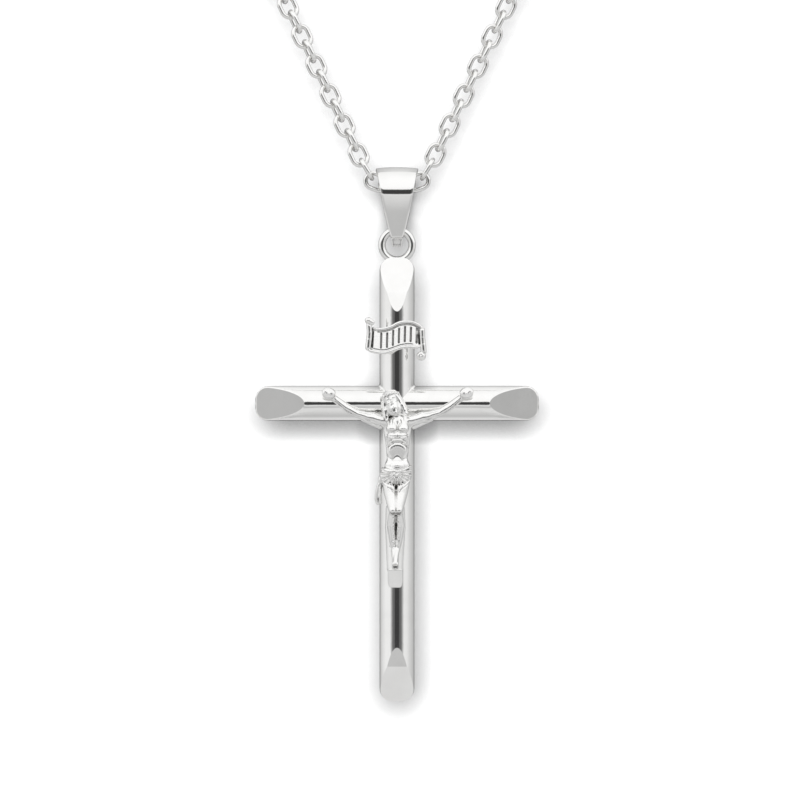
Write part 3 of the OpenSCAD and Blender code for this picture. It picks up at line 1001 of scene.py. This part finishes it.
def sculpt_legs():
    # the casting's rounded back, which widens the shins on the bar
    add(cone((-0.14, 0.56, -10.6), (-0.14, 0.56, -12.4), 1.02, 1.06), 0.05)
    add(cone((-0.14, 0.56, -12.4), (-0.16, 0.56, -16.45), 1.06, 0.90), 0.05)
    # thighs, pressed together, leaning forward to the knees
    limb((-0.80, -0.45, -7.7, 0.70), (-0.72, -0.72, -8.9, 0.60),
         (-0.40, -1.30, -10.72, 0.42), k=0.18)
    limb((0.62, -0.45, -7.7, 0.68), (0.50, -0.72, -8.9, 0.58), (0.18, -1.30, -10.76, 0.40), k=0.18)
    for c in (-0.42, 0.20):
        add(ellipsoid((c, -1.50, -10.62), (0.30, 0.24, 0.26)), 0.1)
    # shins and calves, which fall back to the ankles
    for leg in SHINS:
        limb(*[(x, y, z, r) for z, x, y, r in leg], k=0.12)
    for c in (-0.42, 0.20):                   # the deep line under each kneecap
        cut(cone((c - 0.14, -1.50, -10.92), (c + 0.14, -1.50, -10.92), 0.17, 0.17), 0.02)
    # outlines of the calves, outside and in
    for run in (((-0.50, -11.2), (-0.62, -12.2), (-0.55, -13.0), (-0.44, -13.7)),
                ((0.26, -11.2), (0.38, -12.2), (0.32, -13.0), (0.20, -13.7))):
        groove([(x, shin_front(x, z), z) for x, z in run], 0.17, 0.05)
    for s in (-1, 1):
        cut(line([(-0.14 + s * 0.84, -0.14, -11.2), (-0.14 + s * 0.94, -0.02, -12.2),
                  (-0.14 + s * 0.84, -0.14, -13.2), (-0.14 + s * 0.56, -0.30, -14.4)], 0.08), 0.02)
    groove([(-0.11, -1.3, -8.8), (-0.11, -1.6, -10.7)], 0.10, 0.05)
    groove([(-0.11, -1.2, -11.1), (-0.10, -0.88, -12.8), (-0.12, -0.70, -14.4)], 0.10, 0.12)
    # the rough hollow between the shins, left as cast
    for i in range(30):
        z = -11.15 - 0.112 * i
        x = -0.12 + 0.25 * math.sin(2.4 * i)
        cut(ellipsoid((x, shin_front(x, z), z), (0.055, 0.10, 0.07)), 0.02)
    # feet, one over the other, their backs leaning forward to the toes
    limb((-0.28, -0.42, -14.6, 0.26), (-0.27, -0.72, -15.4, 0.22),
         (-0.24, -0.92, -16.0, 0.20), k=0.08)
    limb((0.02, -0.46, -14.55, 0.25), (-0.10, -0.84, -15.2, 0.22),
         (-0.17, -1.20, -15.96, 0.20), k=0.08)
    add(cone((-0.32, -1.16, -15.98), (-0.04, -1.16, -15.98), 0.20, 0.20), 0.06)
    for i in range(4):                        # gaps between the toes
        x = -0.36 + 0.12 * i
        groove([(x, -1.34, -15.90), (x, -1.42, -16.10)], 0.05, 0.03)
    cut(cone((-0.42, -1.30, -16.18), (0.06, -1.30, -16.18), 0.13, 0.13), 0.02)


WRAP = (((-0.15, -0.48, -7.15), (1.60, 0.88, 1.05)), ((-0.12, -0.60, -7.50), (1.42, 0.80, 0.72)))


def cloth_front(x, z):
    """How far forward the wrapped cloth stands."""
    return min(c[1] - r[1] * math.sqrt(max(
        1 - ((x - c[0]) / r[0]) ** 2 - ((z - c[2]) / r[2]) ** 2, 0.0)) for c, r in WRAP)


def sculpt_cloth():
    for c, r in WRAP:
        add(ellipsoid(c, r), 0.15)
    # rolled top edge
    top = [(-1.45, -0.55, -6.45), (-1.1, -0.98, -6.55), (-0.5, -1.26, -6.72), (0.05, -1.34, -6.80),
           (0.6, -1.24, -6.66), (1.1, -0.95, -6.42), (1.4, -0.55, -6.25)]
    add(line(top, 0.10), 0.08)
    groove([np.array(p) + [0, -0.08, -0.16] for p in top], 0.07, 0.05)
    # folds gathered at the middle, with grooves between them
    ends = [(-1.50, -6.55), (-1.62, -6.95), (-1.60, -7.35), (-1.45, -7.75), (-1.12, -8.05),
            (-0.66, -8.30), (-0.25, -8.60), (0.15, -8.62), (0.52, -8.30), (0.95, -7.98),
            (1.28, -7.60), (1.42, -7.15), (1.42, -6.65)]
    gx, gz = -0.04, -6.98

    def fold(x, z, reach, proud):
        """Points on the cloth from the gather towards (x, z)."""
        run = [(gx + (x - gx) * t, gz + (z - gz) * t) for t in reach]
        return [(px, cloth_front(px, pz) - proud, pz) for px, pz in run]
    for i, (x, z) in enumerate(ends):
        add(line(fold(x, z, (0.15, 0.4, 0.6, 0.8, 1.0), 0.01), 0.08), 0.06)
        if i:
            groove(fold((x + ends[i - 1][0]) / 2, (z + ends[i - 1][1]) / 2,
                        (0.22, 0.45, 0.7, 0.95), 0.05), 0.22, 0.05)
    # hem
    hem = [(-1.45, -0.75, -7.85), (-1.12, -1.05, -8.13), (-0.66, -1.28, -8.38),
           (-0.25, -1.40, -8.68), (0.15, -1.42, -8.70), (0.52, -1.32, -8.38),
           (0.95, -1.08, -8.06), (1.30, -0.80, -7.70)]
    add(line(hem, 0.05), 0.08)
    groove([np.array(p) + [0, 0.02, -0.11] for p in hem], 0.05, 0.05)
    # knot at the hip, with its two hanging ends
    add(ellipsoid((-1.66, -0.38, -7.6), (0.24, 0.26, 0.42)), 0.1)
    add(line([(-1.6, -0.4, -7.7), (-1.85, -0.32, -8.3), (-2.0, -0.22, -8.9),
            (-2.06, -0.12, -9.5), (-1.92, -0.05, -9.95)], 0.20), 0.08)
    add(line([(-1.55, -0.45, -7.8), (-1.65, -0.45, -8.5), (-1.72, -0.35, -9.3),
            (-1.62, -0.25, -9.9)], 0.17), 0.06)
    for dx in (-0.07, 0.08):
        groove([(-1.72 + dx, -0.7, -7.8), (-1.85 + dx, -0.55, -8.6), (-1.95 + dx, -0.4, -9.6)],
               0.09, 0.05)


HEAD = np.array([-0.54, -0.90, 0.18])
HEAD_SIZE = 1.12
HEAD_M = euler(-16, 0, -19)


def hp(u, v, w):
    """A point of the head, from its middle: across, forward and up."""
    return HEAD + HEAD_M @ np.array([u, -v, w])


def grown(shape):
    """A shape enlarged about the head's middle."""
    fn, lo, hi = shape

    def big(x, y, z):
        return HEAD_SIZE * fn(*[HEAD[i] + (p - HEAD[i]) / HEAD_SIZE
                                for i, p in enumerate((x, y, z))])
    return big, HEAD + (lo - HEAD) * HEAD_SIZE, HEAD + (hi - HEAD) * HEAD_SIZE


def sculpt_head():
    def ball(at, r, k):
        add(grown(ellipsoid(hp(*at), r, HEAD_M)), k)

    def rod(p, q, rp, rq, k):
        add(grown(cone(hp(*p), hp(*q), rp, rq)), k)

    def stroke(points, depth, width, radius=0.0):
        press(grown(line([hp(*p) for p in points], radius)), depth, width)
    ball((0, -0.10, 0.20), (0.70, 0.82, 0.80), 0.08)
    ball((0, 0.22, -0.22), (0.55, 0.56, 0.80), 0.08)
    ball((0, 0.05, -0.60), (0.78, 0.46, 0.74), 0.15)
    # brow, nose, cheeks, lids and lips, on plain even proportions
    rod((-0.30, 0.66, 0.10), (0.30, 0.66, 0.10), 0.10, 0.10, 0.08)
    rod((0, 0.72, 0.08), (0, 0.86, -0.22), 0.055, 0.085, 0.05)
    ball((0, 0.83, -0.25), (0.12, 0.09, 0.07), 0.04)
    for s in (-1, 1):
        ball((s * 0.30, 0.52, -0.18), (0.18, 0.20, 0.17), 0.08)
        stroke([(s * 0.20, 0.76, -0.02), (s * 0.26, 0.74, -0.02)], 0.10, 0.085, 0.02)
        ball((s * 0.22, 0.66, -0.03), (0.125, 0.08, 0.07), 0.03)
        stroke([(s * 0.12, 0.76, -0.06), (s * 0.22, 0.77, -0.075), (s * 0.33, 0.72, -0.06)],
               0.035, 0.03)
        # moustache
        rod((s * 0.02, 0.80, -0.38), (s * 0.27, 0.62, -0.52), 0.06, 0.045, 0.04)
    rod((-0.10, 0.72, -0.455), (0.10, 0.72, -0.455), 0.05, 0.05, 0.03)
    stroke([(-0.13, 0.78, -0.44), (0.13, 0.78, -0.44)], 0.05, 0.03)
    # beard
    ball((0, 0.34, -0.70), (0.47, 0.42, 0.40), 0.1)
    for s in (-1, 1):
        rod((s * 0.10, 0.52, -0.85), (s * 0.08, 0.56, -1.25), 0.22, 0.10, 0.08)
    for i in range(7):
        u = (i - 3) * 0.13
        v = 0.66 - abs(u) * 0.5
        stroke([(u * 1.1, v, -0.62), (u * 0.95, v + 0.10, -0.90), (u * 0.5, 0.68, -1.25)],
               0.055, 0.032)
    # hair: side locks down to the shoulders, cap and strands
    for s in (-1, 1):
        lock = [(0.18, 0.60, 0.62, 0.17), (0.52, 0.42, 0.36, 0.20), (0.70, 0.20, -0.10, 0.23),
                (0.80, 0.10, -0.62, 0.24), (0.86, 0.04, -1.12, 0.20), (0.94, 0.06, -1.50, 0.12)]
        back = [(0.60, -0.25, 0.45, 0.30), (0.78, -0.25, -0.30, 0.32), (0.90, -0.20, -1.05, 0.26)]
        for run, k in ((lock, 0.07), (back, 0.1)):
            for (pu, pv, pw, rp), (qu, qv, qw, rq) in zip(run, run[1:]):
                rod((s * pu, pv, pw), (s * qu, qv, qw), rp, rq, k)
        for i in range(5):
            o = (i - 2) * 0.085
            stroke([(s * (0.22 + o * 0.6), 0.76, 0.60), (s * (0.60 + o), 0.60 - o, 0.34 + o * 0.4),
                    (s * (0.80 + o * 0.9), 0.40 - o, -0.12), (s * (0.90 + o), 0.34 - o, -0.62),
                    (s * (0.94 + o * 0.8), 0.24, -1.10), (s * (0.98 + o * 0.3), 0.18, -1.48)],
                   0.05, 0.034)
    ball((0, -0.06, 0.38), (0.80, 0.86, 0.72), 0.06)
    for i in range(9):
        u = (i - 4) * 0.15
        stroke([(u * 0.5, 0.30, 1.08), (u, 0.62, 0.90), (u * 1.45, 0.76, 0.66)], 0.05, 0.036)
    # woven crown: two strands twisted round the head, with short thorns
    def ring(t, wide, deep, w):
        return hp(wide * math.sin(t), 0.02 + deep * math.cos(t), w)
    turns, twists, thorns = 72, 7, 16
    for phase in (0.0, math.pi):
        pts = []
        for t in (2 * math.pi * i / turns for i in range(turns + 1)):
            swell = 1.0 + 0.055 * math.cos(twists * t + phase)
            pts.append(ring(t, 0.84 * swell, 0.88 * swell,
                            0.50 + 0.075 * math.sin(twists * t + phase)))
        add(grown(line(pts, 0.062)), 0.03)
    for i in range(thorns):
        t = 2 * math.pi * (i + 0.3) / thorns
        tip = ring(t + 0.12, 0.98, 1.02, 0.50 + (0.16 if i % 2 else -0.14))
        add(grown(cone(ring(t, 0.86, 0.90, 0.50), tip, 0.05, 0.018)), 0.02)


sculpt_body()
sculpt_webs()
sculpt_arm(-1, (-1.35, -0.5, -1.72), (-2.55, -0.38, -1.42), (-3.95, -0.28, -1.02),
           (-5.05, -0.22, -0.42), (-6.15, -0.22, 0.42), (-6.85, -0.34, 0.98), -38)
sculpt_arm(1, (1.40, -0.5, -1.72), (2.75, -0.38, -1.36), (4.25, -0.28, -0.92),
           (5.25, -0.22, -0.32), (6.25, -0.22, 0.46), (6.98, -0.34, 1.02), 38)
sculpt_legs()
sculpt_cloth()
sculpt_head()
cast_piece(fig, "cast_figure", M_CAST, "corpus")
del fig.f

# ---------------------------------------------------------------- the bail's closing tab
tab = Field((-0.75, -0.95, -6.3), (0.75, -0.08, -4.85), 0.024)


def tab_frame(x, y, z):
    """A tapered lip inside the ring, its face framed by a raised edge."""
    half = np.interp(-z, [4.95, 5.42, 6.0, 6.12], [0.52, 0.57, 0.49, 0.43])
    front = -0.66 + 0.24 * np.clip(-5.3 - z, 0, 1)
    body = np.maximum(np.maximum(np.abs(x) - half, np.abs(z + 5.535) - 0.585),
                      np.maximum(front - y, y + 0.22))
    dish = np.maximum(np.maximum(np.abs(x) - half + 0.11, np.abs(z + 5.70) - 0.31),
                      np.abs(y - front) - 0.13)
    return np.maximum(body, -dish)


tab.add((tab_frame, (-0.7, -0.9, -6.2), (0.7, -0.1, -4.9)), 0.01)
v, f = tab.mesh(1)
finish_piece(new_object("bail_tab", v, f, M_SCROLL, offset=(0, 0, Z_ARCH)), "bail",
             "polished_silver")

# ---------------------------------------------------------------- solder in the corners
weld = Field((-2.75, -1.9, -2.75), (2.75, 1.9, 2.75), 0.042)
x, y, z = np.ix_(*weld.ax)
one, two = np.hypot(x, y) - R, np.hypot(y, z) - R
k = 0.07 + 0.38 * np.clip(1 - np.abs(y) / R, 0, 1)
both = np.minimum(one, two)
filled = both - np.maximum(k - np.abs(one - two), 0) ** 2 / (4 * k)
weld.f = np.maximum(np.maximum(filled + 0.028, -(both + 0.09)),
                    np.maximum(np.abs(x) - 2.3, np.abs(z) - 2.3)).astype(np.float32)
v, f = weld.mesh(1)
finish_piece(new_object("crossing_solder", v, f, M_ARM, offset=CROSS), "cross", "polished_silver")

# ---------------------------------------------------------------- name scroll
scr = Field((-3.7, R - 3.3, 3.8), (3.5, R - 0.6, 9.0), 0.035)
RIM_TOP = [(-2.30, 7.49), (-1.77, 7.39), (-1.10, 7.48), (-0.5, 7.66), (-0.1, 7.91), (0.25, 8.06),
           (0.8, 8.14), (1.35, 8.14), (1.8, 8.02), (2.27, 7.74), (2.65, 7.39)]
RIM_LOW = [(-3.02, 5.49), (-2.7, 5.26), (-2.32, 5.16), (-1.63, 5.04), (-1.1, 5.05), (-0.5, 5.24),
           (-0.05, 5.41), (0.4, 5.56), (0.9, 5.64), (1.35, 5.65), (1.9, 5.56)]


def wave(x, rim):
    """A rim's height at x, rounded off."""
    k = np.array([0.25, 0.5, 0.25])
    xs = np.linspace(-3.3, 3.0, 60)
    zs = np.interp(xs, [p[0] for p in rim], [p[1] for p in rim])
    return np.interp(x, xs[1:-1], np.convolve(zs, k, "valid"))


def sheet_y(x, z):
    """Where the scroll's bowed sheet stands."""
    return -0.36 + 0.03 * x * x + 0.15 * (z - 6.6)


def band(x, y, z):
    xf = x[:, 0, 0]
    t = wave(xf, RIM_TOP)[:, None, None]
    b = wave(xf, RIM_LOW)[:, None, None]
    return np.maximum(np.maximum(z - t, b - z), np.maximum(
        np.abs(y - sheet_y(x, z)) - 0.12, np.maximum(-2.55 - x, x - 2.35)))


scr.add((band, (-2.7, R - 2.6, 4.9), (2.6, R - 1.2, 8.3)), 0.04)


def rim_run(rim, x0, x1, count, sink, dz=0.0):
    """Points along a rim, sink before the sheet and dz higher."""
    run = [(x, wave(x, rim)) for x in np.linspace(x0, x1, count)]
    return [(x, sheet_y(x, z) - sink, z + dz) for x, z in run]


for rim, x0, x1, dz in ((RIM_TOP, -2.35, 2.62, -0.26), (RIM_LOW, -3.0, 1.95, 0.26)):
    scr.add(line(rim_run(rim, x0, x1, 44, 0.13), 0.15), 0.05)
    inner = (rim, x0 + 0.45, x1 - 0.4, 36, 0.14)
    scr.groove(rim_run(*inner, dz), 0.15, 0.05)
    scr.cut(line(rim_run(*inner, dz * 0.92), 0.06), 0.02)
# the rolled ends: a column folded back at each side, curled at its outer corner
columns = ([(-2.80, 7.90, 0.27), (-2.74, 7.04, 0.28), (-2.80, 6.34, 0.30), (-2.88, 5.60, 0.31)],
           [(2.52, 7.28, 0.27), (2.54, 6.54, 0.28), (2.60, 5.84, 0.30), (2.66, 5.20, 0.30)])
for s, col in zip((-1, 1), columns):
    for p, q in zip(col, col[1:]):
        scr.add(cone((p[0], -0.34, p[1]), (q[0], -0.34, q[1]), p[2], q[2]), 0.03)
for x0, z0, x1, z1 in ((-2.40, 7.12, -2.46, 5.62), (2.14, 7.30, 2.22, 5.95)):
    for sink in (0.10, 0.0):
        scr.cut(line([(x0, sheet_y(x0, z0) - sink, z0), (x1, sheet_y(x1, z1) - sink, z1)], 0.085),
                0.02)
scr.add(cone((-2.88, -0.34, 8.28), (-2.50, -0.32, 8.08), 0.34, 0.27), 0.08)
scr.groove([(-2.96, -0.66, 7.96), (-2.6, -0.62, 7.80), (-2.40, -0.5, 7.6)], 0.22, 0.05)
scr.add(ellipsoid((2.42, -0.34, 4.75), (0.47, 0.36, 0.46)), 0.04)
curl = [(2.42 + (0.05 + 0.05 * t) * math.cos(t + 0.6), -0.68,
         4.75 + (0.05 + 0.05 * t) * math.sin(t + 0.6)) for t in np.linspace(0.2, 5.2, 16)]
scr.groove(curl, 0.12, 0.045)
scr.groove([(2.22, -0.62, 5.38), (2.5, -0.66, 5.2), (2.84, -0.5, 4.95)], 0.18, 0.05)
# plain engraved strokes in the field
for i in range(7):
    x = -1.58 + 0.592 * i
    zc = (wave(x, RIM_TOP) + wave(x, RIM_LOW)) / 2
    top, low = zc + (0.66 if i % 2 else 0.74), zc - 0.68
    for sink in (0.11, 0.03):
        scr.cut(line([(x - 0.02, sheet_y(x, low) - sink, low),
                      (x + 0.02, sheet_y(x, top) - sink, top)], 0.095), 0.02)
    scr.groove([(x + 0.29, sheet_y(x, low) - 0.12, low), (x + 0.31, sheet_y(x, top) - 0.12, top)],
              0.02, 0.03)
cast_piece(scr, "name_scroll", M_SCROLL, "titulus_scroll", 1)

# ---------------------------------------------------------------- foot block
blk = Field((-1.3, R - 3.6, -19.0), (0.9, R - 1.2, -16.2), 0.03)


def block(x, y, z):
    """A block with rounded edges; its flat face leans down, its lower corners are rounder."""
    r = 0.10
    low = np.clip((-17.7 - z) / 0.7, 0, 1)
    qx = np.abs(x + 0.17) - (0.74 - r - 0.22 * low ** 2)
    qz = np.abs(z + 17.45) - (0.92 - r)
    qy = ((-1.42 + r) - y + 0.29 * (-16.6 - z)) * 0.96
    out = np.sqrt(np.maximum(qx, 0) ** 2 + np.maximum(qz, 0) ** 2 + np.maximum(qy, 0) ** 2)
    return out + np.minimum(np.maximum(np.maximum(qx, qz), qy), 0) - r


blk.add((block, (-1.1, R - 3.4, -18.7), (0.8, R - 1.2, -16.4)), 0.02)
cast_piece(blk, "foot_rest", M_CAST, "foot_block")


# ---------------------------------------------------------------- stage, world and lights
def stage_plane(name, corners, material):
    ob = new_object(name, corners, [(0, 1, 2, 3)], material, smooth=False)
    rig.stage(ob)
    return ob


def see_through_from_behind(name, build):
    """A stage material that shows only from the front."""
    m = bpy.data.materials.new(name)
    m.use_nodes = True
    m.node_tree.nodes.clear()
    n = Nodes(m.node_tree)
    clear = n.new("ShaderNodeBsdfTransparent")
    mix = n.new("ShaderNodeMixShader")
    n.link(n.new("ShaderNodeNewGeometry").outputs["Backfacing"], mix.inputs[0])
    n.link(build(n), mix.inputs[1])
    n.link(clear.outputs[0], mix.inputs[2])
    n.link(mix.outputs[0], n.new("ShaderNodeOutputMaterial").inputs[0])
    return m


def white_wall(n):
    dif = n.new("ShaderNodeBsdfDiffuse")
    dif.inputs[0].default_value = (0.97, 0.97, 0.97, 1)
    glow = n.new("ShaderNodeEmission")
    glow.inputs[0].default_value = (1, 1, 1, 1)
    glow.inputs[1].default_value = 0.25
    add = n.new("ShaderNodeAddShader")
    n.link(dif.outputs[0], add.inputs[0])
    n.link(glow.outputs[0], add.inputs[1])
    return add.outputs[0]


def contact_shade(n):
    """A clear sheet that only darkens what is behind it, close to the object."""
    lean = n.new("ShaderNodeCombineXYZ")
    for i, v in enumerate((-0.16, -0.72, 0.67)):
        lean.inputs[i].default_value = v
    ao = n.new("ShaderNodeAmbientOcclusion", samples=12)
    ao.inputs["Distance"].default_value = 0.0031
    n.link(lean.outputs[0], ao.inputs["Normal"])
    clear = n.new("ShaderNodeBsdfTransparent")
    shade = n.math("POWER", n.ramp(ao.outputs["AO"], 0.0, 1.0, 0.0, 1.0, smooth=False), 1.5)
    n.link(shade, clear.inputs[0])
    return clear.outputs[0]


def plain(name, colour):
    m = bpy.data.materials.new(name)
    m.use_nodes = True
    b = m.node_tree.nodes["Principled BSDF"]
    b.inputs["Base Color"].default_value = (*colour, 1)
    b.inputs["Roughness"].default_value = 0.9
    return m


WIDE, NEAR_Y, WALL_Y, WALL_TOP, FLOOR_Z = 400, -500, 60, 300, Z_ARM - 62
SHADE_X, SHADE_Y, SHADE_TOP, SHADE_LOW = 45, ARCH_R + 0.08, 10, Z_BOT - 14
stage_plane("backdrop", [(-WIDE, WALL_Y, FLOOR_Z), (WIDE, WALL_Y, FLOOR_Z),
                         (WIDE, WALL_Y, WALL_TOP), (-WIDE, WALL_Y, WALL_TOP)],
            see_through_from_behind("backdrop_white", white_wall)).visible_glossy = False
stage_plane("floor", [(-WIDE, NEAR_Y, FLOOR_Z), (WIDE, NEAR_Y, FLOOR_Z), (WIDE, WALL_Y, FLOOR_Z),
                      (-WIDE, WALL_Y, FLOOR_Z)],
            plain("floor_pale", (0.86, 0.86, 0.86))).visible_glossy = False
stage_plane("contact_shade", [(-SHADE_X, SHADE_Y, SHADE_LOW), (SHADE_X, SHADE_Y, SHADE_LOW),
                              (SHADE_X, SHADE_Y, SHADE_TOP), (-SHADE_X, SHADE_Y, SHADE_TOP)],
            see_through_from_behind("contact_shade", contact_shade))

world = bpy.data.worlds.new("studio")
bpy.context.scene.world = world
world.use_nodes = True
w = Nodes(world.node_tree)
bg = world.node_tree.nodes["Background"]
sep = w.new("ShaderNodeSeparateXYZ")
w.link(w.new("ShaderNodeTexCoord").outputs["Generated"], sep.inputs[0])
dx, dy, dz = sep.outputs
front = w.math("MULTIPLY", dy, -1.0)
deg = 180 / math.pi
SKY_GAIN = 1.05
el = w.math("ABSOLUTE", w.math("MULTIPLY", w.math("ARCSINE", dz), deg))
turn = w.math("MULTIPLY", w.math("ARCTAN2", dx, front), deg)
pitch = w.math("MULTIPLY", w.math("ARCTAN2", dz, front), deg)
# round the horizon, from the left over the camera's side to the right
ring = w.curve(turn, [(-180, 0.30), (-150, 0.36), (-128, 0.60), (-108, 0.72), (-92, 0.78),
                      (-80, 0.83), (-46, 0.83), (-42.5, 0.74), (-40, 0.46), (-34, 0.43),
                      (-29.5, 0.16), (-17, 0.13), (-13, 0.045), (12, 0.045), (16, 0.12),
                      (22, 0.14), (29.5, 0.16), (34, 0.41), (40, 0.43), (42.5, 0.70), (46, 0.78),
                      (56, 0.79), (70, 0.76), (80, 0.70), (92, 0.63), (120, 0.53), (150, 0.38),
                      (180, 0.30)])
# from behind, below, over the camera's side to above and behind
arc = w.curve(pitch, [(-180, 0.32), (-152, 0.40), (-135, 0.70), (-120, 0.70), (-106, 0.60),
                      (-94, 0.49), (-72, 0.57), (-54, 0.66), (-37, 0.71), (-30, 0.66), (-25, 0.48),
                      (-22, 0.50), (-17, 0.66), (-10, 0.73), (0, 0.6), (10, 0.92), (20, 0.98),
                      (45, 1.0), (62, 0.98), (85, 0.94), (105, 0.90), (118, 0.87), (134, 0.76),
                      (152, 0.56), (180, 0.32)])
level = w.ramp(el, 8.0, 10.5, 1.0, 0.0)
sky = w.math("ADD", w.math("MULTIPLY", arc, w.math("SUBTRACT", 1.0, level)),
             w.math("MULTIPLY", ring, level))
sky = w.math("MULTIPLY", sky, SKY_GAIN)
# what the camera itself sees of it is plain and pale
seen = w.new("ShaderNodeLightPath").outputs["Is Camera Ray"]
sky = w.math("ADD", w.math("MULTIPLY", sky, w.math("SUBTRACT", 1.0, seen)), seen)
comb = w.new("ShaderNodeCombineColor")
for i in range(3):
    w.link(sky, comb.inputs[i])
w.link(comb.outputs[0], bg.inputs[0])
bg.inputs[1].default_value = 1.0


def area_light(name, loc, target, size, energy):
    data = bpy.data.lights.new(name, "AREA")
    data.shape = "RECTANGLE"
    data.size, data.size_y = size
    data.energy = energy
    data.spread = math.pi
    ob = bpy.data.objects.new(name, data)
    ob.location = Vector(loc) * MM
    d = (Vector(target) - Vector(loc)) * MM
    ob.rotation_euler = d.to_track_quat("-Z", "Y").to_euler()
    C.objects.link(ob)
    return ob


key = area_light("key_top", (-60, -190, Z_ARM + 330), (0, 0, Z_ARM), (0.22, 0.16), 0.35)
key.visible_glossy = False

view = bpy.context.scene.view_settings
view.view_transform = "Standard"
view.look = "None"
view.exposure = 0.0

size = {"cad": [list(map(float, c)) for c in cad_box],
        "visual": [list(map(float, c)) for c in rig.bounds()]}
with open("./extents.json", "w") as out:
    json.dump(size, out)
